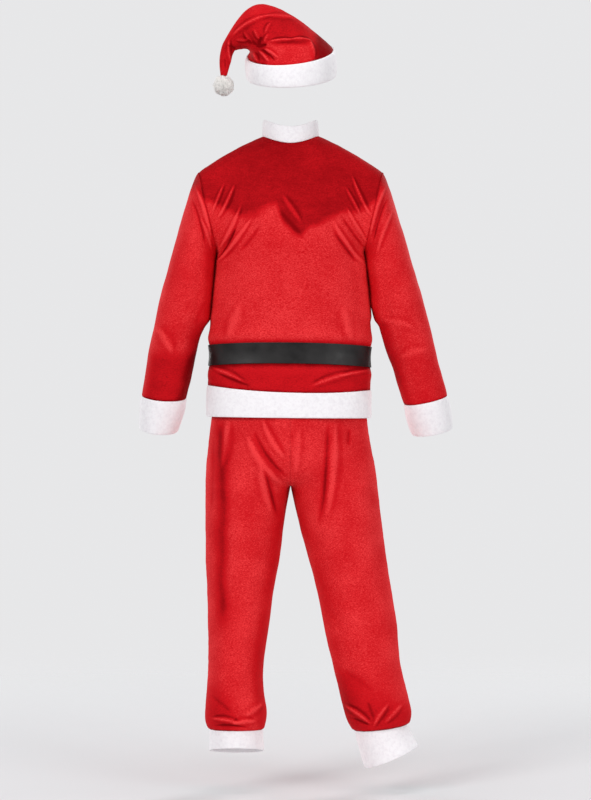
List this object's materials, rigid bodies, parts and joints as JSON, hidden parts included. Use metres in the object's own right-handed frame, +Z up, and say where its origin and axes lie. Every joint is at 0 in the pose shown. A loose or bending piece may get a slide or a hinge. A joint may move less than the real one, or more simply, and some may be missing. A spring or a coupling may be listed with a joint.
{
  "type": "worn santa suit: hat, belted jacket and trousers",
  "caption": "Worn costume of red velour with white plush trim: floppy hat with pompom, belted jacket and trousers, hollow and open at neck, cuffs and hems.",
  "frame": {"origin": "on the wearer's centre line, at the height of the jacket's back neckline", "axes": "+Z up, +X towards the wearer's left, the suit faces -Y"},
  "size_m": [0.751, 0.2751, 1.8299],
  "materials": {
    "hat_velour": "red velour with a short nap",
    "hat_plush": "white short-pile plush",
    "pompom_pile": "white long-pile ball",
    "jacket_velour": "red velour with a short nap",
    "jacket_plush": "white short-pile plush",
    "belt_vinyl": "black vinyl with a soft sheen",
    "buckle_metal": "plain satin metal",
    "trouser_velour": "red velour with a short nap",
    "waistband_cloth": "gathered red velour casing",
    "trouser_plush": "white short-pile plush"
  },
  "bodies": {
    "root": {"hat_crown": "hat_velour", "hat_band": "hat_plush", "pompom": "pompom_pile", "jacket_back": "jacket_velour", "jacket_front_left": "jacket_velour", "jacket_front_right": "jacket_velour", "sleeve_left": "jacket_velour", "sleeve_right": "jacket_velour", "cuff_left": "jacket_plush", "cuff_right": "jacket_plush", "hem_band": "jacket_plush", "collar": "jacket_plush", "front_band": "jacket_plush", "belt": "belt_vinyl", "belt_buckle": "buckle_metal", "trouser_back_left": "trouser_velour", "trouser_back_right": "trouser_velour", "trouser_front_left": "trouser_velour", "trouser_front_right": "trouser_velour", "waistband": "waistband_cloth", "trouser_cuff_left": "trouser_plush", "trouser_cuff_right": "trouser_plush"}
  },
  "joints": []
}
